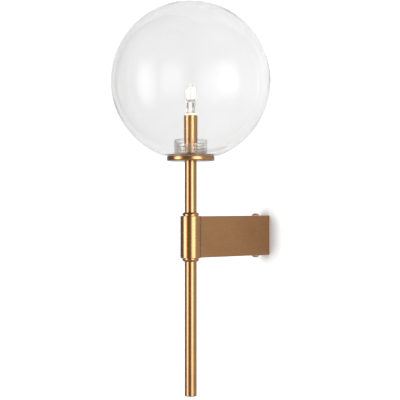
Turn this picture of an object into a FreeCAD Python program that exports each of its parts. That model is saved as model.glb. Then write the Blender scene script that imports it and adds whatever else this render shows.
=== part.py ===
import FreeCAD, Part
import math
import os

# Globe wall sconce, in millimetres. X runs along the wall, +Y points into the wall, +Z is up.
# The origin lies on the wall plane, midway between the two wall screws, level with the middle of the arm.
# The room is on the -Y side. Everything turned stands on the rod axis, an upright line in front of the wall.

# ---------------------------------------------------------------- driving dimensions

# arm: a hollow rectangular section from the wall to the hub
arm_reach = 138.0
arm_height = 52.0
arm_width = 16.0
arm_wall = 1.5
arm_edge_radius = 0.8

# wall bracket: an end plate with two tongues that reach into the arm
plate_thickness = 2.0
tongue_length = 24.0
tongue_thickness = 2.0
tongue_side_clearance = 0.3
tongue_top_clearance = 0.2
tongue_bend_radius = 2.0
tongue_corner_radius = 2.0
wall_screw_spacing = 30.0
wall_screw_hole_diameter = 4.5
cable_hole_diameter = 9.0

# lock screws through the arm into the tongues, and the earth screw on the lower tongue
lock_screw_from_wall = 18.4
lock_screw_diameter = 4.0
lock_head_diameter = 9.5
lock_head_height = 2.5
lock_washer_diameter = 8.4
lock_washer_thickness = 0.5
lock_screw_tip = 1.5
slot_clearance = 0.3
thread_clearance = 0.05
face_gap = 0.05
earth_screw_from_wall = 8.6
earth_screw_diameter = 4.0
earth_head_diameter = 7.0
earth_head_height = 2.4
earth_washer_diameter = 8.6
earth_washer_thickness = 0.8
earth_screw_tip = 0.8

# hub: an upright sleeve, a little taller than the arm coped to it, with a threaded plug in each end
hub_diameter = 26.0
hub_overhang = 0.5
hub_wall = 2.5
hub_edge_radius = 0.8
hub_plug_thickness = 6.0
window_diameter = 10.0
ferrule_diameter = 21.0
ferrule_height = 4.4
ferrule_groove_depth = 1.3
ferrule_groove_height = 0.7
ferrule_lip = 0.4

# rods, their threaded inserts and the end cap
rod_diameter = 15.0
rod_wall = 1.0
rod_clearance = 0.05
upper_rod_length = 69.3
lower_rod_length = 168.0
insert_length = 10.0
end_cap_height = 4.5
end_cap_edge_radius = 0.9
end_cap_spigot = 8.0

# hollow threaded nipples and the clamped stack on the disc
nipple_diameter = 10.0
nipple_bore = 7.5
nipple_engagement = 8.0
nipple_tail = 2.0
disc_diameter = 60.0
disc_thickness = 6.4
disc_edge_radius = 0.7
disc_socket_depth = 1.0
gasket_thickness = 1.0
gasket_inner_diameter = 42.0
gasket_outer_diameter = 58.0
gasket_recess_depth = 0.5
gasket_clearance = 0.3
collar_diameter = 36.0
collar_wall = 2.5
collar_floor = 2.0
collar_height = 16.0
collar_edge_radius = 0.8
ring_nut_diameter = 14.0
ring_nut_height = 3.5

# candle tube and lampholder
tube_diameter = 17.0
tube_wall = 1.0
tube_floor = 1.5
candle_tube_length = 48.8
cup_gap = 4.0
cup_boss_height = 3.0
cup_boss_wall = 1.2
cup_floor = 1.0
cup_wall = 0.7
cup_clearance = 0.3
holder_flange_thickness = 3.0
holder_edge_radius = 0.5
holder_height = 22.0
holder_spigot = 2.0
socket_depth = 14.5
socket_width = 3.2
socket_length = 3.6
wire_hole_diameter = 2.6

# capsule bulb with two loop pins
pin_spacing = 9.0
pin_wire_diameter = 0.8
pin_loop_width = 2.2
pin_length = 9.0
pin_root_height = 6.9
bulb_seat_gap = 0.3
pinch_height = 14.0
pinch_width = 14.0
pinch_thickness = 3.6
pinch_edge_radius = 1.2
capsule_diameter = 14.0
capsule_height = 21.0
capsule_wall = 1.0
capsule_shoulder_radius = 4.0
capsule_tip_diameter = 2.6
capsule_tip_height = 1.2
foil_width = 2.6
foil_height = 7.0
foil_thickness = 0.2
inner_lead_diameter = 0.5
filament_diameter = 0.9
filament_spacing = 2.0
filament_bottom = 4.5
filament_height = 12.0

# contact springs in the lampholder
contact_thickness = 0.3
contact_width = 2.2
contact_height = 10.0
contact_pinch_gap = 1.3

# glass globe with a neck that turns inwards over the collar
globe_diameter = 200.0
globe_wall = 2.0
globe_foot_radius = 36.0
globe_foot_fillet = 10.0
neck_clearance = 0.3
neck_height = 20.5
neck_mouth_radius = 1.5
neck_root_radius = 2.5

# terminal block and the two leads
terminal_from_wall = 34.0
terminal_depth = 16.5
terminal_height = 11.5
terminal_pitch = 8.0
terminal_notch_width = 1.6
terminal_notch_depth = 4.0
terminal_shoulder_width = 2.2
terminal_shoulder_height = 6.5
terminal_bore = 5.0
insert_wall = 0.9
clamp_length = 12.0
clamp_screw_diameter = 3.0
clamp_screw_spacing = 7.0
clamp_screw_height = 3.6
clamp_screw_hole = 3.6
pad_thickness = 1.0
pad_inset = 1.0
lead_diameter = 2.0
lead_spacing = 3.2
lead_straight = 11.0
lead_crossover = 22.0
lead_height = -8.0
lead_bend_radius = 24.0
lead_end_inset = 5.0

# ---------------------------------------------------------------- heights on the rod axis

hub_top = arm_height / 2 + hub_overhang
hub_radius = hub_diameter / 2
hub_bore_radius = hub_radius - hub_wall
rod_radius = rod_diameter / 2
rod_bore_radius = rod_radius - rod_wall
nipple_radius = nipple_diameter / 2
thread_hole_radius = nipple_radius + thread_clearance
tube_radius = tube_diameter / 2
tube_bore_radius = tube_radius - tube_wall

upper_rod_top = hub_top + upper_rod_length
lower_rod_bottom = -hub_top - lower_rod_length
disc_bottom = upper_rod_top - disc_socket_depth
disc_top = disc_bottom + disc_thickness
gasket_bottom = disc_top - gasket_recess_depth
globe_foot = gasket_bottom + gasket_thickness + face_gap
tube_bottom = disc_top + collar_floor
tube_top = tube_bottom + candle_tube_length
ring_nut_bottom = tube_bottom + tube_floor
ring_nut_top = ring_nut_bottom + ring_nut_height
cup_boss_bottom = ring_nut_top + cup_gap
cup_floor_top = cup_boss_bottom + cup_boss_height
holder_top = tube_top + holder_flange_thickness
holder_shoulder = tube_top - holder_height
socket_bottom = holder_top - socket_depth
bulb_bottom = holder_top + bulb_seat_gap

bracket_tongue_top = arm_height / 2 - arm_wall - tongue_top_clearance
head_seat = arm_height / 2 + face_gap + lock_washer_thickness + face_gap


# ---------------------------------------------------------------- small helpers

def at(x, y, z):
    return FreeCAD.Vector(x, y, z)


def on_rod_axis(shape):
    """Moves a shape made round the Z axis to the rod axis."""
    return shape.translated(at(0, -arm_reach, 0))


def cylinder(radius, bottom, top, x=0.0, y=0.0):
    return Part.makeCylinder(radius, top - bottom, at(x, y, bottom))


def ring(outer_radius, inner_radius, bottom, top):
    return cylinder(outer_radius, bottom, top).cut(cylinder(inner_radius, bottom, top))


def centred_box(width_x, width_y, bottom, top, x=0.0, y=0.0):
    return Part.makeBox(width_x, width_y, top - bottom, at(x - width_x / 2, y - width_y / 2, bottom))


def turned(edges):
    """Revolves a closed outline, drawn in the XZ plane, round the Z axis."""
    face = Part.Face(Part.Wire(edges))
    return face.revolve(at(0, 0, 0), at(0, 0, 1), 360)


def line(start, end):
    return Part.LineSegment(at(start[0], 0, start[1]), at(end[0], 0, end[1])).toShape()


def arc(start, middle, end):
    points = [at(radius, 0, height) for radius, height in (start, middle, end)]
    return Part.Arc(*points).toShape()


def outline(points):
    return [line(start, end) for start, end in zip(points, points[1:] + points[:1])]


def on_circle(centre, radius, degrees):
    angle = math.radians(degrees)
    return (centre[0] + radius * math.cos(angle), centre[1] + radius * math.sin(angle))


def rims(shape, radius, height):
    """The circular edges of the given radius round the Z axis at the given height."""
    found = []
    for edge in shape.Edges:
        if not edge.Degenerated and isinstance(edge.Curve, Part.Circle):
            curve = edge.Curve
            centred = math.hypot(curve.Center.x, curve.Center.y) < 1e-6
            if centred and abs(curve.Radius - radius) < 1e-6 and abs(curve.Center.z - height) < 1e-6:
                found.append(edge)
    return found


def long_edges(shape, direction):
    """The straight edges that run along the given axis."""
    found = []
    for edge in shape.Edges:
        if not edge.Degenerated and isinstance(edge.Curve, Part.Line):
            along = abs(edge.tangentAt(edge.FirstParameter).dot(direction))
            if along > 0.999:
                found.append(edge)
    return found


def wire_path(points, bend_radius):
    """Straight runs joined by tangent arcs, each as large as its runs allow, up to bend_radius."""
    edges = []
    start = points[0]
    for before, corner, after in zip(points, points[1:], points[2:]):
        back = (before - corner).normalize()
        ahead = (after - corner).normalize()
        half_turn = (math.pi - back.getAngle(ahead)) / 2
        shorter_run = min((corner - before).Length, (after - corner).Length)
        radius = min(bend_radius, 0.45 * shorter_run / math.tan(half_turn))
        reach = radius * math.tan(half_turn)
        bisector = (back + ahead).normalize()
        arc_start = corner + back * reach
        arc_end = corner + ahead * reach
        arc_middle = corner + bisector * (radius / math.cos(half_turn) - radius)
        edges.append(Part.LineSegment(start, arc_start).toShape())
        edges.append(Part.Arc(arc_start, arc_middle, arc_end).toShape())
        start = arc_end
    edges.append(Part.LineSegment(start, points[-1]).toShape())
    return Part.Wire(edges)


def round_wire(points, diameter, bend_radius):
    """A round wire swept along wire_path."""
    path = wire_path(points, bend_radius)
    direction = points[1] - points[0]
    section = Part.Wire(Part.makeCircle(diameter / 2, points[0], direction))
    return path.makePipeShell([section], True, False)


def save(shape, node):
    shape.exportStep(os.path.join("parts", node + ".step"))


# ---------------------------------------------------------------- wall bracket and its screws

def wall_bracket():
    """The end plate against the wall, with a tongue folded into the top and bottom of the arm."""
    half = arm_height / 2
    plate = centred_box(arm_width, plate_thickness, -half, half, 0, -plate_thickness / 2)
    plate = plate.makeFillet(arm_edge_radius, long_edges(plate, at(0, 1, 0)))
    root = -plate_thickness
    tip = root - tongue_length
    inner = bracket_tongue_top - tongue_thickness
    bend_start = at(0, root - tongue_bend_radius, inner)
    bend_end = at(0, root, inner - tongue_bend_radius)
    bend_inset = tongue_bend_radius * (1 - math.cos(math.radians(45)))
    bend_middle = at(0, root - bend_inset, inner - bend_inset)
    corners = [bend_end, at(0, root, bracket_tongue_top), at(0, tip, bracket_tongue_top),
               at(0, tip, inner), bend_start]
    edges = [Part.LineSegment(a, b).toShape() for a, b in zip(corners, corners[1:])]
    edges.append(Part.Arc(bend_start, bend_middle, bend_end).toShape())
    tongue_width = arm_width - 2 * arm_wall - 2 * tongue_side_clearance
    tongue = Part.Face(Part.Wire(edges)).extrude(at(tongue_width, 0, 0))
    tongue = tongue.translated(at(-tongue_width / 2, 0, 0))
    tip_edges = [edge for edge in long_edges(tongue, at(0, 0, 1)) if edge.CenterOfMass.y < tip + 1e-6]
    tongue = tongue.makeFillet(tongue_corner_radius, tip_edges)
    other_tongue = tongue.mirror(at(0, 0, 0), at(0, 0, 1))
    bracket = plate.fuse([tongue, other_tongue])
    lock_hole_radius = lock_screw_diameter / 2 + thread_clearance
    lock_holes = cylinder(lock_hole_radius, -arm_height, arm_height, 0, -lock_screw_from_wall)
    earth_hole_radius = earth_screw_diameter / 2 + thread_clearance
    earth_hole = cylinder(earth_hole_radius, -arm_height, 0, 0, -earth_screw_from_wall)
    cable_hole = Part.makeCylinder(cable_hole_diameter / 2, plate_thickness, at(0, 0, 0), at(0, -1, 0))
    holes = [lock_holes, earth_hole, cable_hole]
    for side in (-1, 1):
        place = at(0, 0, side * wall_screw_spacing / 2)
        hole = Part.makeCylinder(wall_screw_hole_diameter / 2, plate_thickness, place, at(0, -1, 0))
        holes.append(hole)
    return bracket.cut(holes).removeSplitter()


def domed_screw(head_diameter, head_height, thread_diameter, seat, length):
    """A screw with a domed head that stands on the height given, its thread pointing down."""
    head_radius = head_diameter / 2
    rim = head_height * 0.2
    rise = head_height - rim
    dome_radius = (head_radius ** 2 + rise ** 2) / (2 * rise)
    crown = (0, seat + head_height)
    centre = (0, crown[1] - dome_radius)
    half_angle = math.degrees(math.asin(head_radius / dome_radius))
    shoulder = (head_radius, seat + rim)
    middle = on_circle(centre, dome_radius, 90 - half_angle / 2)
    edges = [line((0, seat), (head_radius, seat)), line((head_radius, seat), shoulder),
             arc(shoulder, middle, crown), line(crown, (0, seat))]
    thread = cylinder(thread_diameter / 2, seat - length, seat)
    return turned(edges).fuse(thread).removeSplitter()


def lock_screw():
    grip = head_seat - (bracket_tongue_top - tongue_thickness)
    length = grip + lock_screw_tip
    screw = domed_screw(lock_head_diameter, lock_head_height, lock_screw_diameter, head_seat, length)
    return screw.translated(at(0, -lock_screw_from_wall, 0))


def lock_washer():
    bottom = arm_height / 2 + face_gap
    hole_radius = lock_screw_diameter / 2 + slot_clearance
    washer = ring(lock_washer_diameter / 2, hole_radius, bottom, bottom + lock_washer_thickness)
    return washer.translated(at(0, -lock_screw_from_wall, 0))


def mirrored_below(shape):
    return shape.mirror(at(0, 0, 0), at(0, 0, 1))


def earth_washer():
    """A cupped washer on the upper face of the lower tongue, its rim turned up."""
    seat = tongue_thickness - bracket_tongue_top
    outer = earth_washer_diameter / 2
    hole = earth_screw_diameter / 2 + thread_clearance
    rim = outer - earth_washer_thickness
    floor = seat + earth_washer_thickness
    lip = floor + earth_washer_thickness
    points = [(hole, seat), (rim, seat), (outer, floor), (outer, lip), (rim, lip), (rim, floor),
              (hole, floor)]
    return turned(outline(points)).translated(at(0, -earth_screw_from_wall, 0))


def earth_screw():
    floor = tongue_thickness - bracket_tongue_top + earth_washer_thickness
    length = earth_washer_thickness + tongue_thickness + earth_screw_tip
    screw = domed_screw(earth_head_diameter, earth_head_height, earth_screw_diameter, floor, length)
    return screw.translated(at(0, -earth_screw_from_wall, 0))


# ---------------------------------------------------------------- arm and hub

def arm_housing():
    """A hollow rectangular section, coped to the hub and slotted towards the wall for the lock screws."""
    start = -plate_thickness - face_gap
    length = arm_reach + start
    middle = start - length / 2
    section = centred_box(arm_width, length, -arm_height / 2, arm_height / 2, 0, middle)
    section = section.makeFillet(arm_edge_radius, long_edges(section, at(0, 1, 0)))
    cavity_width = arm_width - 2 * arm_wall
    cavity_top = arm_height / 2 - arm_wall
    cavity = centred_box(cavity_width, length, -cavity_top, cavity_top, 0, middle)
    hub_space = on_rod_axis(cylinder(hub_radius, -arm_height, arm_height))
    slot_width = lock_screw_diameter + 2 * slot_clearance
    slot_end = cylinder(slot_width / 2, -arm_height, arm_height, 0, -lock_screw_from_wall)
    slot_middle = -lock_screw_from_wall / 2
    slot = centred_box(slot_width, lock_screw_from_wall, -arm_height, arm_height, 0, slot_middle)
    return section.cut([cavity, hub_space, slot_end, slot]).removeSplitter()


def lead_height_in_hub_wall():
    """How high the curving leads are where they pass the middle of the hub's wall."""
    wall_middle = hub_radius - hub_wall / 2
    sideways = lead_bend_radius - wall_middle
    return lead_height + lead_bend_radius - math.sqrt(lead_bend_radius ** 2 - sideways ** 2)


def end_sleeve():
    """The hub: a tube with rounded ends and a round window for the leads on the arm's side."""
    sleeve = ring(hub_radius, hub_bore_radius, -hub_top, hub_top)
    outer_rims = rims(sleeve, hub_radius, hub_top) + rims(sleeve, hub_radius, -hub_top)
    sleeve = sleeve.makeFillet(hub_edge_radius, outer_rims)
    height = lead_height_in_hub_wall()
    window = Part.makeCylinder(window_diameter / 2, hub_diameter, at(0, 0, height), at(0, 1, 0))
    return on_rod_axis(sleeve.cut(window))


def hub_plug():
    """A threaded plug, pressed flush into the upper end of the hub."""
    return on_rod_axis(ring(hub_bore_radius, thread_hole_radius, hub_top - hub_plug_thickness, hub_top))


def ferrule():
    """A turned bead over the joint of hub and rod, with a shadow groove under it."""
    bore = rod_radius + rod_clearance
    widest = ferrule_diameter / 2
    groove = widest - ferrule_groove_depth
    bead_bottom = hub_top + ferrule_groove_height
    top = hub_top + ferrule_height
    lip = rod_radius + ferrule_lip
    width = widest - lip
    height = top - bead_bottom
    bulge = math.sqrt(0.5)
    middle = (lip + width * bulge, bead_bottom + height * bulge)
    edges = [line((bore, hub_top), (groove, hub_top)), line((groove, hub_top), (groove, bead_bottom)),
             line((groove, bead_bottom), (widest, bead_bottom)),
             arc((widest, bead_bottom), middle, (lip, top)), line((lip, top), (bore, top)),
             line((bore, top), (bore, hub_top))]
    return on_rod_axis(turned(edges))


def threaded_insert(bottom, top):
    return on_rod_axis(ring(rod_bore_radius, thread_hole_radius, bottom, top))


def rod(bottom, top):
    return on_rod_axis(ring(rod_radius, rod_bore_radius, bottom, top))


def rod_end_cap():
    """A flush cap with a rounded lower edge and a spigot pressed into the lower rod."""
    bottom = lower_rod_bottom - end_cap_height
    cap = cylinder(rod_radius, bottom, lower_rod_bottom)
    cap = cap.makeFillet(end_cap_edge_radius, rims(cap, rod_radius, bottom))
    spigot = cylinder(rod_bore_radius, lower_rod_bottom, lower_rod_bottom + end_cap_spigot)
    return on_rod_axis(cap.fuse(spigot).removeSplitter())


def nipple(bottom, top):
    return on_rod_axis(ring(nipple_radius, nipple_bore / 2, bottom, top))


def hub_stud():
    """The solid threaded stud that joins the lower rod to the lower hub plug."""
    top = hub_plug_thickness + nipple_tail - hub_top
    return on_rod_axis(cylinder(nipple_radius, -hub_top - nipple_engagement, top))


# ---------------------------------------------------------------- globe disc and collar

def globe_disc():
    """The round seat of the globe: a recess for the gasket above, a socket for the rod below."""
    radius = disc_diameter / 2
    disc = cylinder(radius, disc_bottom, disc_top)
    disc = disc.makeFillet(disc_edge_radius, rims(disc, radius, disc_bottom) + rims(disc, radius, disc_top))
    recess_outer = gasket_outer_diameter / 2 + gasket_clearance
    recess_inner = gasket_inner_diameter / 2 - gasket_clearance
    recess = ring(recess_outer, recess_inner, gasket_bottom, disc_top)
    socket = cylinder(rod_radius + rod_clearance, disc_bottom, upper_rod_top)
    hole = cylinder(thread_hole_radius, disc_bottom, disc_top)
    return on_rod_axis(disc.cut([recess, socket, hole]))


def globe_gasket():
    outer = gasket_outer_diameter / 2
    inner = gasket_inner_diameter / 2
    return on_rod_axis(ring(outer, inner, gasket_bottom + face_gap, gasket_bottom + gasket_thickness))


def threaded_collar():
    """A clear cup whose wall carries the thread that the globe's neck screws over."""
    radius = collar_diameter / 2
    top = disc_top + collar_height
    cup = cylinder(radius, disc_top, top)
    cup = cup.cut(cylinder(radius - collar_wall, tube_bottom, top))
    cup = cup.makeFillet(collar_edge_radius, rims(cup, radius, top))
    return on_rod_axis(cup.cut(cylinder(thread_hole_radius, disc_top, tube_bottom)))


def candle_tube():
    """The brass candle tube, with a pierced floor that the ring nut clamps."""
    tube = cylinder(tube_radius, tube_bottom, tube_top)
    tube = tube.cut(cylinder(tube_bore_radius, ring_nut_bottom, tube_top))
    return on_rod_axis(tube.cut(cylinder(thread_hole_radius, tube_bottom, ring_nut_bottom)))


def tube_ring_nut():
    """A round nut with two spanner slots across its upper face."""
    nut = ring(ring_nut_diameter / 2, thread_hole_radius, ring_nut_bottom, ring_nut_top)
    slot_depth = ring_nut_height / 3
    slot = centred_box(ring_nut_diameter, slot_depth, ring_nut_top - slot_depth, ring_nut_top)
    return on_rod_axis(nut.cut(slot))


# ---------------------------------------------------------------- lampholder

def lampholder_cup():
    """A pressed steel cup, screwed on the disc's nipple, that carries the ceramic body."""
    outer = tube_bore_radius - cup_clearance
    inner = outer - cup_wall
    boss = thread_hole_radius + cup_boss_wall
    floor = cup_floor_top - cup_floor
    points = [(thread_hole_radius, cup_boss_bottom), (boss, cup_boss_bottom), (boss, floor), (outer, floor),
              (outer, holder_shoulder), (inner, holder_shoulder), (inner, cup_floor_top),
              (thread_hole_radius, cup_floor_top)]
    return on_rod_axis(turned(outline(points)))


def lampholder_body():
    """The ceramic body: a flange on the tube's end, two contact sockets, and wire holes below them."""
    body_radius = tube_bore_radius - cup_clearance
    spigot_radius = body_radius - cup_wall
    body = cylinder(body_radius, holder_shoulder, tube_top)
    flange = cylinder(tube_radius, tube_top, holder_top)
    flange = flange.makeFillet(holder_edge_radius, rims(flange, tube_radius, holder_top))
    spigot = cylinder(spigot_radius, holder_shoulder - holder_spigot, holder_shoulder)
    body = body.fuse([flange, spigot]).removeSplitter()
    cuts = []
    for side in (-1, 1):
        x = side * pin_spacing / 2
        cuts.append(centred_box(socket_width, socket_length, socket_bottom, holder_top, x))
        cuts.append(cylinder(wire_hole_diameter / 2, holder_shoulder - holder_spigot, socket_bottom, x))
    return on_rod_axis(body.cut(cuts))


def contact_spring(x):
    """A strip folded to a U, whose two leaves close in on the pin near their tips."""
    outer = socket_length / 2
    floor = socket_bottom
    waist = floor + contact_height * 0.75
    tip = floor + contact_height
    leaf = [(outer, floor), (contact_pinch_gap / 2 + contact_thickness, waist), (outer, tip)]
    inside = [(outer - contact_thickness, tip), (contact_pinch_gap / 2, waist),
              (outer - contact_thickness, floor + contact_thickness)]
    right = leaf + inside
    left = [(-y, z) for y, z in reversed(right)]
    points = [at(0, y, z) for y, z in right + left]
    strip = Part.Face(Part.makePolygon(points + points[:1])).extrude(at(contact_width, 0, 0))
    return strip.translated(at(x - contact_width / 2, 0, 0))


def lampholder_contacts():
    return on_rod_axis(Part.makeCompound([contact_spring(side * pin_spacing / 2) for side in (-1, 1)]))


# ---------------------------------------------------------------- bulb

def pin_loop(x):
    """One contact pin: a wire loop that starts and ends inside the pinch."""
    radius = pin_wire_diameter / 2
    half = pin_loop_width / 2 - radius
    turn = bulb_bottom - pin_length + radius + half
    root = bulb_bottom + pin_root_height
    bottom = at(x, 0, turn - half)
    edges = [Part.LineSegment(at(x - half, 0, root), at(x - half, 0, turn)).toShape(),
             Part.Arc(at(x - half, 0, turn), bottom, at(x + half, 0, turn)).toShape(),
             Part.LineSegment(at(x + half, 0, turn), at(x + half, 0, root)).toShape()]
    section = Part.Wire(Part.makeCircle(radius, at(x - half, 0, root), at(0, 0, 1)))
    return Part.Wire(edges).makePipeShell([section], True, False)


def filament_foot(side):
    return at(side * filament_spacing / 2, 0, bulb_bottom + pinch_height + filament_bottom)


def bulb_lead(side):
    """A pin loop, the foil that seals it in the glass, and the thin lead to the filament."""
    x = side * pin_spacing / 2
    foil_bottom = bulb_bottom + pin_root_height - pin_wire_diameter
    foil_top = foil_bottom + foil_height
    foil = centred_box(foil_width, foil_thickness, foil_bottom, foil_top, x)
    inner_x = x - side * foil_width / 4
    foot = filament_foot(side)
    below_foot = foot - at(0, 0, filament_diameter)
    points = [at(inner_x, 0, foil_top - 1), at(inner_x, 0, bulb_bottom + pinch_height), below_foot, foot]
    inner_lead = round_wire(points, inner_lead_diameter, inner_lead_diameter * 4)
    return pin_loop(x).fuse([foil, inner_lead])


def bulb_leads():
    return Part.makeCompound([bulb_lead(side) for side in (-1, 1)])


def bulb_filament():
    """A hairpin filament between the two inner leads."""
    left = filament_foot(-1)
    right = filament_foot(1)
    half = filament_spacing / 2
    rise = at(0, 0, filament_height - half)
    crown = (left + right) / 2 + at(0, 0, filament_height)
    edges = [Part.LineSegment(left, left + rise).toShape(),
             Part.Arc(left + rise, crown, right + rise).toShape(),
             Part.LineSegment(right + rise, right).toShape()]
    section = Part.Wire(Part.makeCircle(filament_diameter / 2, left, at(0, 0, 1)))
    return on_rod_axis(Part.Wire(edges).makePipeShell([section], True, False))


def capsule_outline(radius, bottom, top):
    """A straight side that closes in a half-round crown."""
    crown_start = top - radius
    crown_middle = on_circle((0, crown_start), radius, 45)
    return [line((0, bottom), (radius, bottom)), line((radius, bottom), (radius, crown_start)),
            arc((radius, crown_start), crown_middle, (0, top)), line((0, top), (0, bottom))]


def bulb_envelope():
    """The hollow capsule, its sealed tip, and the flat pinch that holds the foils."""
    radius = capsule_diameter / 2
    bottom = bulb_bottom + pinch_height
    top = bottom + capsule_height
    capsule = turned(capsule_outline(radius, bottom, top))
    capsule = capsule.makeFillet(capsule_shoulder_radius, rims(capsule, radius, bottom))
    tip_radius = capsule_tip_diameter / 2
    tip_top = top + capsule_tip_height
    tip = cylinder(tip_radius, top - capsule_wall / 2, tip_top)
    tip = tip.makeFillet(tip_radius * 0.7, rims(tip, tip_radius, tip_top))
    pinch = centred_box(pinch_width, pinch_thickness, bulb_bottom, bottom + capsule_wall)
    pinch = pinch.makeFillet(pinch_edge_radius, long_edges(pinch, at(0, 0, 1)))
    hollow_bottom = bottom + 2 * capsule_wall
    hollow_top = top - capsule_wall
    hollow_radius = radius - capsule_wall
    hollow = turned(capsule_outline(hollow_radius, hollow_bottom, hollow_top))
    hollow_rim = rims(hollow, hollow_radius, hollow_bottom)
    hollow = hollow.makeFillet(capsule_shoulder_radius - capsule_wall, hollow_rim)
    glass = capsule.fuse([tip, pinch]).cut(hollow)
    return on_rod_axis(glass.cut(bulb_leads()))


# ---------------------------------------------------------------- glass globe

def foot_points(radius, foot, centre, fillet):
    """Where a sphere of the given radius runs into a fillet, and the fillet into the flat foot."""
    fillet_height = foot + fillet
    fillet_x = math.sqrt((radius - fillet) ** 2 - (centre - fillet_height) ** 2)
    fillet_centre = (fillet_x, fillet_height)
    slope = math.degrees(math.atan2(fillet_height - centre, fillet_x))
    on_sphere = on_circle((0, centre), radius, slope)
    middle = on_circle(fillet_centre, fillet, (slope - 90) / 2)
    return on_sphere, middle, (fillet_x, foot)


def glass_globe():
    """A sphere with a flattened foot, from which a rounded neck turns up inside over the collar."""
    radius = globe_diameter / 2
    centre = globe_foot + math.sqrt(radius ** 2 - globe_foot_radius ** 2)
    bore = collar_diameter / 2 + neck_clearance
    neck = bore + globe_wall
    lip = globe_wall / 2
    lip_height = globe_foot + neck_height - lip
    floor = globe_foot + globe_wall
    outer_sphere, outer_bend, outer_foot = foot_points(radius, globe_foot, centre, globe_foot_fillet)
    inner_radius = radius - globe_wall
    inner_fillet = globe_foot_fillet - globe_wall
    inner_sphere, inner_bend, inner_foot = foot_points(inner_radius, floor, centre, inner_fillet)
    mouth_start = (bore + neck_mouth_radius, globe_foot)
    mouth_middle = on_circle((mouth_start[0], globe_foot + neck_mouth_radius), neck_mouth_radius, 225)
    mouth_end = (bore, globe_foot + neck_mouth_radius)
    lip_start = (bore, lip_height)
    lip_end = (neck, lip_height)
    root_start = (neck, floor + neck_root_radius)
    root_middle = on_circle((neck + neck_root_radius, root_start[1]), neck_root_radius, 225)
    root_end = (neck + neck_root_radius, floor)
    crown = (0, centre + radius)
    inner_crown = (0, centre + inner_radius)
    edges = [arc(crown, on_circle((0, centre), radius, 0), outer_sphere),
             arc(outer_sphere, outer_bend, outer_foot), line(outer_foot, mouth_start),
             arc(mouth_start, mouth_middle, mouth_end), line(mouth_end, lip_start),
             arc(lip_start, (bore + lip, lip_height + lip), lip_end), line(lip_end, root_start),
             arc(root_start, root_middle, root_end), line(root_end, inner_foot),
             arc(inner_foot, inner_bend, inner_sphere),
             arc(inner_sphere, on_circle((0, centre), inner_radius, 0), inner_crown),
             line(inner_crown, crown)]
    return on_rod_axis(turned(edges))


# ---------------------------------------------------------------- terminal block and leads

pad_x = arm_wall - arm_width / 2
block_x = pad_x + pad_thickness
pole_x = block_x + terminal_shoulder_height - terminal_bore / 2 - insert_wall
block_middle = -terminal_from_wall - terminal_depth / 2


def terminal_block():
    """A two-pole block: a stepped profile, notched between the poles, bored for clamps and screws."""
    half = terminal_depth / 2
    neck = half - terminal_shoulder_width
    low = terminal_shoulder_height
    high = terminal_height
    profile = [(0, -half), (0, half), (low, half), (high, neck), (high, -neck), (low, -half)]
    bottom = -terminal_pitch
    points = [at(block_x + x, block_middle + y, bottom) for x, y in profile]
    block = Part.Face(Part.makePolygon(points + points[:1])).extrude(at(0, 0, 2 * terminal_pitch))
    notch_x = block_x + terminal_height - terminal_notch_depth / 2
    notch_half = terminal_notch_width / 2
    cuts = [centred_box(terminal_notch_depth, terminal_depth, -notch_half, notch_half, notch_x, block_middle)]
    for height in pole_heights():
        front = at(pole_x, block_middle - half, height)
        cuts.append(Part.makeCylinder(terminal_bore / 2, terminal_depth, front, at(0, 1, 0)))
        for y in clamp_screw_places():
            place = at(pole_x, y, height)
            cuts.append(Part.makeCylinder(clamp_screw_hole / 2, terminal_height, place, at(1, 0, 0)))
    return block.cut(cuts)


def pole_heights():
    return (-terminal_pitch / 2, terminal_pitch / 2)


def clamp_screw_places():
    return [block_middle + side * clamp_screw_spacing / 2 for side in (-1, 1)]


def terminal_clamps():
    """A brass tube in each pole, tapped for its two screws."""
    clamps = []
    for height in pole_heights():
        front = at(pole_x, block_middle - clamp_length / 2, height)
        outer = Part.makeCylinder(terminal_bore / 2, clamp_length, front, at(0, 1, 0))
        inner = Part.makeCylinder(terminal_bore / 2 - insert_wall, clamp_length, front, at(0, 1, 0))
        clamp = outer.cut(inner)
        for y in clamp_screw_places():
            place = at(pole_x, y, height)
            tapping = Part.makeCylinder(clamp_screw_diameter / 2, terminal_height, place, at(1, 0, 0))
            clamp = clamp.cut(tapping)
        clamps.append(clamp)
    return Part.makeCompound(clamps)


def terminal_screws():
    """The slotted grub screws, which bear on the wires in the clamps."""
    screws = []
    for height in pole_heights():
        for y in clamp_screw_places():
            tip = at(pole_x + lead_diameter / 2, y, height)
            screw = Part.makeCylinder(clamp_screw_diameter / 2, clamp_screw_height, tip, at(1, 0, 0))
            screws.append(screw)
    return Part.makeCompound(screws)


def terminal_pad():
    """The adhesive pad between the block and the arm's inner wall."""
    depth = terminal_depth - 2 * pad_inset
    half = terminal_pitch - pad_inset
    return centred_box(pad_thickness, depth, -half, half, pad_x + pad_thickness / 2, block_middle)


def lead(side):
    """One lead: terminal, along the arm, round into the hub, up the rod and out to its contact."""
    pole_height = side * terminal_pitch / 2
    lane_x = side * lead_spacing / 2
    socket_x = side * pin_spacing / 2
    front = -terminal_from_wall - terminal_depth
    leave = front - lead_straight
    join = leave - lead_crossover
    spread_bottom = cup_floor_top + lead_diameter
    spread_top = holder_shoulder - holder_spigot - lead_diameter / 2
    points = [at(pole_x, front + lead_end_inset, pole_height), at(pole_x, leave, pole_height),
              at(lane_x, join, lead_height), at(lane_x, -arm_reach, lead_height),
              at(lane_x, -arm_reach, spread_bottom), at(socket_x, -arm_reach, spread_top),
              at(socket_x, -arm_reach, socket_bottom)]
    return round_wire(points, lead_diameter, lead_bend_radius)


# ---------------------------------------------------------------- the sconce

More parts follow.
